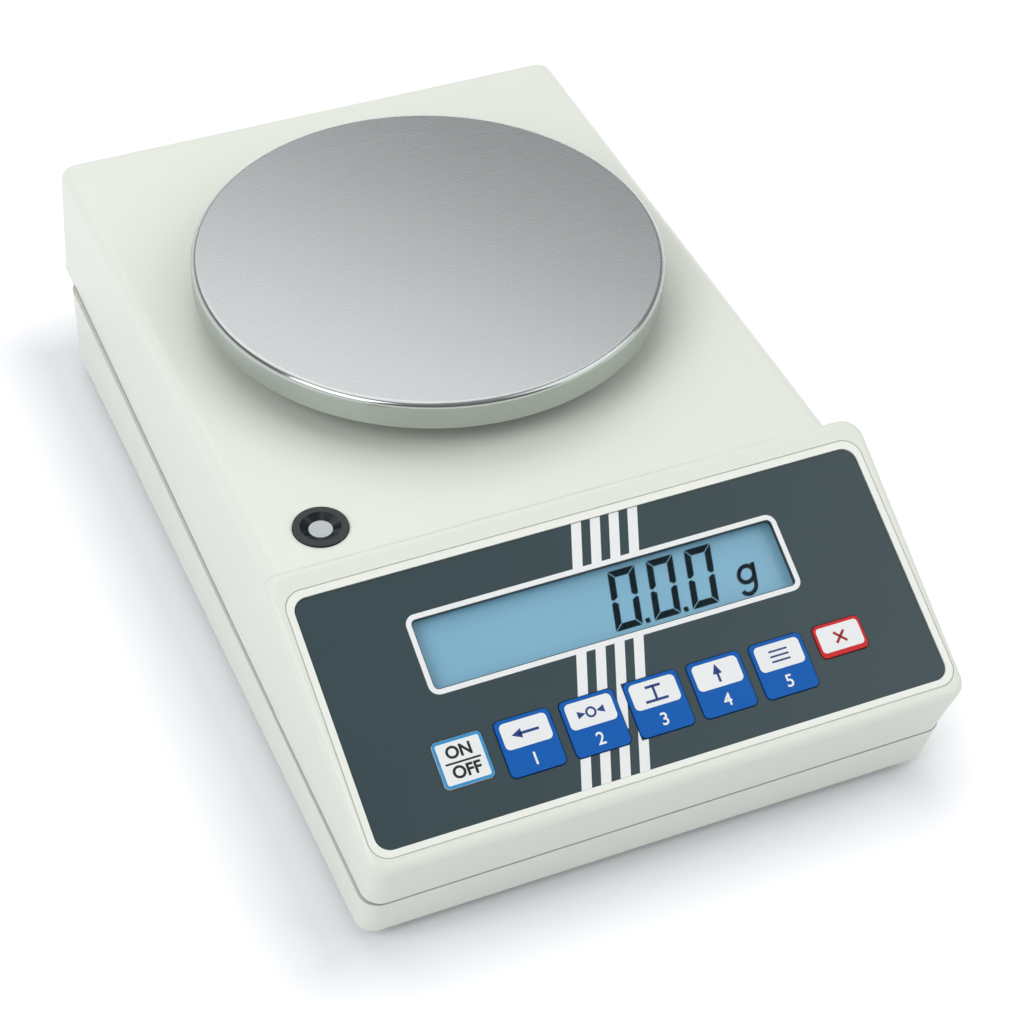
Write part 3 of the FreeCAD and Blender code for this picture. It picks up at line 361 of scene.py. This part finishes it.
windowSizes = {"u": -1.5, "v": 12.6, "width": 116.0, "height": 21.8, "radius": 1.6,
               "border": 1.6, "borderInner": 0.02, "print": 0.03}
windowEdges = (windowSizes["u"] - windowSizes["width"] / 2, windowSizes["u"] + windowSizes["width"] / 2,
               windowSizes["v"] - windowSizes["height"] / 2, windowSizes["v"] + windowSizes["height"] / 2)


def grownWindow(grow):  # the window's edges moved out by the same distance all round
    left, right, bottom, top = windowEdges
    return roundedOutline(left - grow, right + grow, bottom - grow, top + grow, windowSizes["radius"] + grow)


# Sealing lip: a ring that follows the frame's groove, just under its brim
lip = {"side": 2.45, "top": 2.75, "groove": 0.35, "radius": 6.0, "low": -1.0, "high": -0.28, "slack": 0.01}
foilHalfU = (high[0] - low[0]) / 2 / mm


def lipOutline(inset):  # the foil's half sizes plus the frame's width, drawn in by the inset
    reach = foilHalfU + lip["side"] - inset
    bottom = -panel["foilHalfV"] - lip["side"] + inset
    top = panel["foilHalfV"] + lip["top"] - inset
    return roundedOutline(-reach, reach, bottom, top, lip["radius"] - inset)


lipOuter, lipInner = lipOutline(lip["slack"]), lipOutline(lip["groove"] - lip["slack"])
points, faces = ringLoops(lipOuter, lipInner, lip["low"], lip["high"])
addPiece("panel_lip", onPanel(points), faces, lipGrey, "casing")

foilTop = panel["foilHigh"]
borderLoops = [grownWindow(windowSizes[key]) for key in ("border", "borderInner")]
points, faces = ringLoops(*borderLoops, foilTop, foilTop + windowSizes["print"])
addPiece("window_border", onPanel(points), faces, inkWhite, "casing")

# Dark sleeve of painted shade down the window's walls, from just under the foil's face
well = {"outer": -0.01, "inner": -0.22, "low": -2.06, "sink": 0.02}
wellLoops = [grownWindow(well[key]) for key in ("outer", "inner")]
points, faces = ringLoops(*wellLoops, well["low"], foilTop - well["sink"])
addPiece("window_painted_shade", onPanel(points), faces, wellPaintedShade, "casing")

# Four slanted stripes: each is the band between u = start + lean v and the same plus
# its width, kept between the walls of whatever hole it meets, over rows of v
stripes = {"count": 4, "start": -16.2, "width": 3.2, "pitch": 6.1, "lean": 0.34, "print": 0.03, "rows": 24,
           "endV": 38.5, "reach": 90.0, "least": 0.02}


def stripeBands(bottom, top, lefts, rights):
    shapes = []
    rows = np.linspace(bottom, top, stripes["rows"])
    for number in range(stripes["count"]):
        start = stripes["start"] + number * stripes["pitch"] + stripes["lean"] * rows
        for left, right in zip(lefts, rights):
            a = np.maximum(start, left)
            b = np.minimum(start + stripes["width"], right)
            keep = b - a > stripes["least"]
            if keep.sum() < 2:
                continue
            a, b, v = a[keep], b[keep], rows[keep]
            outline = np.concatenate([np.column_stack([b, v]), np.column_stack([a, v])[::-1]])
            shapes.append(stackLoops([outline, outline], [foilTop, foilTop + stripes["print"]]))
    return shapes


border = windowSizes["border"]
gap = keySizes["holeGap"]
holeLefts = keyU + keyWidth / 2 + gap
holeRights = keyU - keyWidth / 2 - gap
wide = [-stripes["reach"]], [stripes["reach"]]
shapes = stripeBands(windowEdges[3] + border, stripes["endV"], *wide)
shapes += stripeBands(keySizes["high"] + gap, windowEdges[2] - border, *wide)
shapes += stripeBands(keySizes["low"] - gap, keySizes["high"] + gap, holeLefts[:-1], holeRights[1:])
shapes += stripeBands(-stripes["endV"], keySizes["low"] - gap, *wide)
points, faces = joinShapes(shapes)
addPiece("panel_stripes", onPanel(points), faces, inkWhite, "casing")
print("foil printed")


# Seven segment noughts: a mitred top bar and an upper left bar, mirrored over the middle of the
# figure both ways, then leaned over by u + lean v

display = {"count": 3, "n": -4.0, "thick": 0.04, "height": 18.2, "width": 8.7, "pitch": 12.5, "lean": 0.227,
           "bar": 2.1, "tipOut": 0.2, "tipIn": 0.4, "startU": -0.9, "startV": 4.1, "gap": 0.18,
           "point": 1.5, "pointGap": 1.1, "pointRound": 0.3, "pointSteps": 3}


def noughtBars(left, base):
    width, height, bar, gap = (display[key] for key in ("width", "height", "bar", "gap"))
    waist = height / 2 + gap
    tipOut, tipIn = bar * display["tipOut"], bar * display["tipIn"]
    across = np.array([[gap, height], [gap + bar, height - bar],
                       [width - gap - bar, height - bar], [width - gap, height]])
    along = np.array([[0, height - gap], [0, waist + tipOut], [tipIn, waist],
                      [bar, waist + tipIn], [bar, height - gap - bar]])
    outlines = []
    for outline, flips in ((across, (0, 2)), (along, (0, 1, 2, 3))):
        for flip in flips:
            flipU, flipV = flip & 1, flip & 2
            turned = np.column_stack([width - outline[:, 0] if flipU else outline[:, 0],
                                      height - outline[:, 1] if flipV else outline[:, 1]])
            turned = turned[::-1] if bool(flipU) != bool(flipV) else turned
            outlines.append(turned @ np.array([[1, 0], [display["lean"], 1]]) + [left, base])
    return outlines


outlines = []
base, point = display["startV"], display["point"]
for number in range(display["count"]):
    left = display["startU"] + number * display["pitch"]
    outlines += noughtBars(left, base)
    if number < display["count"] - 1:
        dotLeft = left + display["width"] + display["pointGap"]
        outlines.append(roundedOutline(dotLeft, dotLeft + point, base, base + point,
                                       display["pointRound"], display["pointSteps"]))
lcdLow, lcdHigh = display["n"], display["n"] + display["thick"]
points, faces = joinShapes([stackLoops([outline, outline], [lcdLow, lcdHigh]) for outline in outlines])
addPiece("display_figures", onPanel(points), faces, crystalDark, "casing")


# A word or number as a flat mesh: the built-in letters, centred on a place and given the print's thickness
def panelWord(name, words, size, bold, place, n, material, body):
    curve = bpy.data.curves.new(name + "_curve", "FONT")
    curve.body = words
    curve.size = size
    curve.align_x = "CENTER"
    curve.align_y = "CENTER"
    curve.offset = bold
    curve.extrude = label["mark"] / 2
    holder = bpy.data.objects.new(name + "_holder", curve)
    bpy.context.collection.objects.link(holder)
    bpy.context.view_layer.update()
    mesh = bpy.data.meshes.new_from_object(holder)
    bpy.data.objects.remove(holder)
    flat = np.empty(len(mesh.vertices) * 3, np.float32)
    mesh.vertices.foreach_get("co", flat)
    points = onPanel(flat.reshape(-1, 3) + [*place, n + label["mark"] / 2])
    mesh.vertices.foreach_set("co", points.astype(np.float32).ravel())
    mesh.materials.clear()
    mesh.materials.append(material)
    mesh.update()
    piece = bpy.data.objects.new(name, mesh)
    bpy.context.collection.objects.link(piece)
    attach(piece, body)
    return piece


# Key labels: a white plate with rounded corners, a line mark on it and a number on the coloured tab

label = {"width": 14.6, "high": -13.4, "low": -21.4, "radius": 1.5, "thick": 0.06, "mark": 0.03, "line": 0.8}
keyTop = -0.1
labelTop = keyTop + label["thick"]


def strokePlate(a, b, width):  # a straight stroke from the first point to the second, four-sided
    a, b = np.array(a, float), np.array(b, float)
    along = (b - a) / np.linalg.norm(b - a)
    side = np.array([-along[1], along[0]]) * width / 2
    return np.array([a - side, b - side, b + side, a + side])


def arcRing(u, v, radius, width, start, end, steps=24):  # part of a flat ring as one outline
    angle = np.radians(np.linspace(start, end, steps))
    circle = np.column_stack([np.cos(angle), np.sin(angle)])
    outer = circle * (radius + width / 2) + [u, v]
    inner = circle * (radius - width / 2) + [u, v]
    return np.concatenate([outer, inner[::-1]])


def arrowHead(u, v, size, direction, barb=130):  # triangle whose point looks left, right, up or down
    turn = {"right": 0, "up": 90, "left": 180, "down": 270}[direction]
    angle = np.radians(np.array([turn, turn + barb, turn + 360 - barb]))
    return np.column_stack([u + size * np.cos(angle), v + size * np.sin(angle)])


def markPiece(name, outlines, material, body, n=labelTop):
    shapes = [stackLoops([outline, outline], [n, n + label["mark"]]) for outline in outlines]
    points, faces = joinShapes(shapes)
    return addPiece(name, onPanel(points), faces, material, body)


# Unit sign g: a round bowl, a stem on its right and a hook under it, leaned over by u + lean v
unit = {"u": 44.2, "v": 10.0, "bowl": 2.5, "stroke": 1.35, "rise": 1.15, "drop": 3.6, "lean": 0.2,
        "hook": -150}


def unitOutlines():
    radius, stroke, stem = unit["bowl"], unit["stroke"], unit["bowl"]
    outlines = [arcRing(0, 0, radius, stroke, 0, 180), arcRing(0, 0, radius, stroke, 180, 360),
                strokePlate((stem, -unit["drop"]), (stem, radius + unit["rise"] / 2), stroke),
                arcRing(0, -unit["drop"], radius, stroke, 0, unit["hook"])[::-1]]
    return [outline @ np.array([[1, 0], [unit["lean"], 1]]) + [unit["u"], unit["v"]] for outline in outlines]


markPiece("display_unit", unitOutlines(), crystalDark, "casing", lcdLow)
print("display figures made")


# Marks are drawn about the middle of the key's label, in millimetres to the right and up; a ringLine
# or a rowLine is a share of the usual line, and a turn is degrees
line = label["line"]
middleV = (label["high"] + label["low"]) / 2
marks = {2: {"head": 1.9, "headU": -2.6, "from": -2.4, "to": 4.0},
         3: {"head": 1.5, "headU": 3.2, "ring": 1.35, "ringLine": 0.8, "turn": 359.9},
         4: {"foot": 3.6, "footV": -2.2, "cap": 2.4, "capV": 2.1, "stem": (-2.0, 2.4)},
         5: {"head": 1.9, "headV": 1.2, "from": 1.0, "to": -2.6},
         6: {"half": 3.0, "rows": (-1.6, 0.0, 1.6), "rowLine": 0.7},
         7: {"half": 1.7, "low": -1.6, "high": 1.8}}


def keyStroke(u, start, end, width=line):
    return strokePlate((u + start[0], middleV + start[1]), (u + end[0], middleV + end[1]), width)


def keyMark(number, u):  # arrow, nought between pointers, beam, up arrow, three rows, cross
    mark = marks[number]
    if number == 2:
        return [arrowHead(u + mark["headU"], middleV, mark["head"], "left"),
                keyStroke(u, (mark["from"], 0), (mark["to"], 0))]
    if number == 3:
        return [arrowHead(u - mark["headU"], middleV, mark["head"], "right"),
                arrowHead(u + mark["headU"], middleV, mark["head"], "left"),
                arcRing(u, middleV, mark["ring"], line * mark["ringLine"], 0, mark["turn"])]
    if number == 4:
        low, high = mark["stem"]
        return [keyStroke(u, (-mark["foot"], mark["footV"]), (mark["foot"], mark["footV"])),
                keyStroke(u, (0, low), (0, high)),
                keyStroke(u, (-mark["cap"], mark["capV"]), (mark["cap"], mark["capV"]))]
    if number == 5:
        return [arrowHead(u, middleV + mark["headV"], mark["head"], "up"),
                keyStroke(u, (0, mark["from"]), (0, mark["to"]))]
    if number == 6:
        return [keyStroke(u, (-mark["half"], row), (mark["half"], row), line * mark["rowLine"])
                for row in mark["rows"]]
    return [keyStroke(u, (-mark["half"], mark["low"]), (mark["half"], mark["high"])),
            keyStroke(u, (-mark["half"], mark["high"]), (mark["half"], mark["low"]))]


# First key: a cyan ring round a white plate, with a word above and one below a thin rule
onOff = {"ring": (0.05, 0.95), "radius": 1.6, "size": 5.0, "bold": 0.15,
         "onAt": (-0.3, -17.2), "offAt": (0.2, -23.2),
         "ruleHalf": 5.4, "ruleV": -20.2, "ruleWidth": 0.55}
digits = {"size": 5.4, "bold": 0.06, "v": -25.8}
lastLabel = {"side": 0.8, "low": -21.2, "top": 0.9, "radius": 1.2}
for number in range(1, 8):
    u, body = keyU[number - 1], "key_%d" % number
    half, low, high = keyWidth[number - 1] / 2, keyLow[number - 1], keyHigh[number - 1]
    if number == 1:
        loops = [roundedOutline(u - half + inset, u + half - inset, low + inset, high - inset,
                                onOff["radius"] - inset) for inset in onOff["ring"]]
        panelPlate("key_1_label", loops[1], keyTop, labelTop, inkWhite, body)
        points, faces = ringLoops(*loops, keyTop, labelTop)
        addPiece("key_1_edge", onPanel(points), faces, inkCyan, body)
        for word, place in (("on", onOff["onAt"]), ("off", onOff["offAt"])):
            panelWord("key_1_word_" + word, word.upper(), onOff["size"], onOff["bold"],
                      (u + place[0], place[1]), labelTop, inkBlack, body)
        rule = strokePlate((u - onOff["ruleHalf"], onOff["ruleV"]), (u + onOff["ruleHalf"], onOff["ruleV"]),
                           onOff["ruleWidth"])
        markPiece("key_1_rule", [rule], inkBlack, body)
    elif number == 7:
        outline = roundedOutline(u - half + lastLabel["side"], u + half - lastLabel["side"],
                                 lastLabel["low"], high - lastLabel["top"], lastLabel["radius"])
        panelPlate("key_7_label", outline, keyTop, labelTop, inkWhite, body)
        markPiece("key_7_mark", keyMark(number, u), inkRed, body)
    else:
        outline = roundedOutline(u - label["width"] / 2, u + label["width"] / 2,
                                 label["low"], label["high"], label["radius"])
        panelPlate("key_%d_label" % number, outline, keyTop, labelTop, inkWhite, body)
        markPiece("key_%d_mark" % number, keyMark(number, u), inkBlue, body)
        panelWord("key_%d_number" % number, str(number - 1), digits["size"], digits["bold"],
                  (u, digits["v"]), keyTop, inkWhite, body)
print("keys labelled")


# Camera at the photograph's place, in row-frame millimetres and degrees; the clips are metres

viewpoint = {"eye": (-260.94, -587.84, 621.14), "azimuth": -25.096, "elevation": 43.236, "roll": 2.475,
             "focalPixels": 2670.0, "imagePixels": 1024.0, "sensor": 36.0, "nearClip": 0.02, "farClip": 20}


def placeCamera():
    azimuth, elevation, roll = (math.radians(viewpoint[key]) for key in ("azimuth", "elevation", "roll"))
    back = Vector((math.sin(azimuth) * math.cos(elevation),
                   -math.cos(azimuth) * math.cos(elevation),
                   math.sin(elevation)))
    right = (-back).cross(Vector((0, 0, 1))).normalized()
    up = right.cross(-back)
    turnedRight = right * math.cos(roll) + up * math.sin(roll)
    turnedUp = -right * math.sin(roll) + up * math.cos(roll)
    data = bpy.data.cameras.new("photo_camera")
    data.sensor_width = viewpoint["sensor"]
    data.lens = viewpoint["focalPixels"] * viewpoint["sensor"] / viewpoint["imagePixels"]
    data.clip_start = viewpoint["nearClip"]
    data.clip_end = viewpoint["farClip"]
    camera = bpy.data.objects.new("photo_camera", data)
    matrix = Matrix((turnedRight, turnedUp, back)).transposed().to_4x4()
    matrix.translation = Vector(viewpoint["eye"]) * mm
    camera.matrix_world = matrix
    bpy.context.collection.objects.link(camera)
    bpy.context.scene.camera = camera


placeCamera()

# Floor, lamps and surroundings

studio = {"floorHalf": 4.0, "floorColour": "eff0f4",
          "footMiddle": (-0.010, 0.002, 0), "footHalf": (0.094, 0.145, 1.0),
          "glowNear": 0.35, "nearBy": 0.034, "glowFar": 0.3, "farFrom": 0.2, "farTo": 1.1,
          "roomLevel": 0.48, "sky": ((0.28, 1.0), (0.37, 0.12), (0.5, 0.14), (0.6, 0.3))}
lamps = {
    "left_lamp": {"place": (-1.15, -0.45, 1.1), "aim": (0, 0, 0.05), "size": 1.0, "energy": 8.9},
    "right_lamp": {"place": (1.15, -0.6, 1.15), "aim": (0, 0, 0.05), "size": 1.4, "energy": 7.4},
    "top_lamp": {"place": (-0.033, 0.582, 0.85), "aim": (-0.033, 0.582, 0), "size": 1.0, "energy": 3.1,
                 "spin": 38},
}


# A white sweep: pale paint that takes the shadows, and a glow that only seeing rays meet. The
# glow grows with the distance from the object's foot, a box: the length of what lies beyond it, so the floor
# close round the foot is left darker, a painted shadow
def makeFloor():
    half = studio["floorHalf"]
    mesh = bpy.data.meshes.new("floor")
    corners = [(-half, -half, 0), (half, -half, 0), (half, half, 0), (-half, half, 0)]
    mesh.from_pydata(corners, [], [(0, 1, 2, 3)])
    floor = bpy.data.objects.new("floor", mesh)
    bpy.context.collection.objects.link(floor)
    material = bpy.data.materials.new("whiteSweep")
    material.use_nodes = True
    tree = material.node_tree
    tree.nodes.clear()
    rays = addNode(tree, "ShaderNodeLightPath")
    seen = addNode(tree, "ShaderNodeMath", {"operation": "MAXIMUM"},
                   {0: rays.outputs["Is Camera Ray"], 1: rays.outputs["Is Glossy Ray"]})
    seen = addNode(tree, "ShaderNodeMath", {"operation": "MAXIMUM"},
                   {0: seen.outputs[0], 1: rays.outputs["Is Transmission Ray"]})
    beyond = addNode(tree, "ShaderNodeTexCoord").outputs["Object"]
    for step in ({"operation": "SUBTRACT", 1: studio["footMiddle"]}, {"operation": "ABSOLUTE"},
                 {"operation": "SUBTRACT", 1: studio["footHalf"]}, {"operation": "MAXIMUM", 1: (0, 0, 0)}):
        beyond = addNode(tree, "ShaderNodeVectorMath", step, {0: beyond}).outputs["Vector"]
    away = addNode(tree, "ShaderNodeVectorMath", {"operation": "LENGTH"}, {0: beyond}).outputs["Value"]
    close = addNode(tree, "ShaderNodeMapRange", {"From Max": studio["nearBy"], "To Max": studio["glowNear"]},
                    {"Value": away})
    far = addNode(tree, "ShaderNodeMapRange", {"From Min": studio["farFrom"], "From Max": studio["farTo"],
                                               "To Max": studio["glowFar"]}, {"Value": away})
    level = addNode(tree, "ShaderNodeMath", {"operation": "ADD"},
                    {0: close.outputs["Result"], 1: far.outputs["Result"]})
    glow = addNode(tree, "ShaderNodeMath", {"operation": "MULTIPLY"},
                   {0: seen.outputs[0], 1: level.outputs[0]})
    paint = addNode(tree, "ShaderNodeBsdfDiffuse", {"Color": linear(studio["floorColour"])})
    light = addNode(tree, "ShaderNodeEmission", {"Color": (1, 1, 1, 1)}, {"Strength": glow.outputs[0]})
    both = addNode(tree, "ShaderNodeAddShader", {}, {0: paint.outputs[0], 1: light.outputs[0]})
    addNode(tree, "ShaderNodeOutputMaterial", {}, {"Surface": both.outputs[0]})
    mesh.materials.append(material)


# An even room for the light, and for seeing rays a white wall that turns grey towards the ceiling
def makeWorld():
    world = bpy.data.worlds.new("studio")
    bpy.context.scene.world = world
    world.use_nodes = True
    tree = world.node_tree
    tree.nodes.clear()
    rays = addNode(tree, "ShaderNodeLightPath")
    seen = addNode(tree, "ShaderNodeMath", {"operation": "MAXIMUM"},
                   {0: rays.outputs["Is Camera Ray"], 1: rays.outputs["Is Glossy Ray"]})
    seen = addNode(tree, "ShaderNodeMath", {"operation": "MAXIMUM"},
                   {0: seen.outputs[0], 1: rays.outputs["Is Transmission Ray"]})
    direction = addNode(tree, "ShaderNodeTexCoord").outputs["Object"]
    height = addNode(tree, "ShaderNodeSeparateXYZ", {}, {0: direction}).outputs["Z"]
    sky = addNode(tree, "ShaderNodeValToRGB", {}, {0: height})
    ramp = sky.color_ramp.elements
    while len(ramp) < len(studio["sky"]):
        ramp.new(1.0)
    for element, (at, level) in zip(ramp, studio["sky"]):
        element.position = at
        element.color = (level, level, level, 1)
    room = addNode(tree, "ShaderNodeBackground",
                   {"Color": (1, 1, 1, 1), "Strength": studio["roomLevel"]})
    white = addNode(tree, "ShaderNodeBackground", {}, {"Color": sky.outputs[0]})
    mix = addNode(tree, "ShaderNodeMixShader", {},
                  {0: seen.outputs[0], 1: room.outputs[0], 2: white.outputs[0]})
    addNode(tree, "ShaderNodeOutputWorld", {}, {"Surface": mix.outputs[0]})


def addLamp(name, place, aim, size, energy, spin=0):  # spin turns the square about its own beam
    data = bpy.data.lights.new(name, "AREA")
    data.shape = "SQUARE"
    data.size = size
    data.energy = energy
    lamp = bpy.data.objects.new(name, data)
    lamp.location = place
    beam = (Vector(aim) - Vector(place)).to_track_quat("-Z", "Y")
    lamp.rotation_euler = (beam @ Quaternion((0, 0, 1), math.radians(spin))).to_euler()
    bpy.context.collection.objects.link(lamp)


makeFloor()
makeWorld()
for name, settings in lamps.items():
    addLamp(name, **settings)
bpy.context.scene.view_settings.view_transform = "Standard"
print("camera, floor and lamps set")
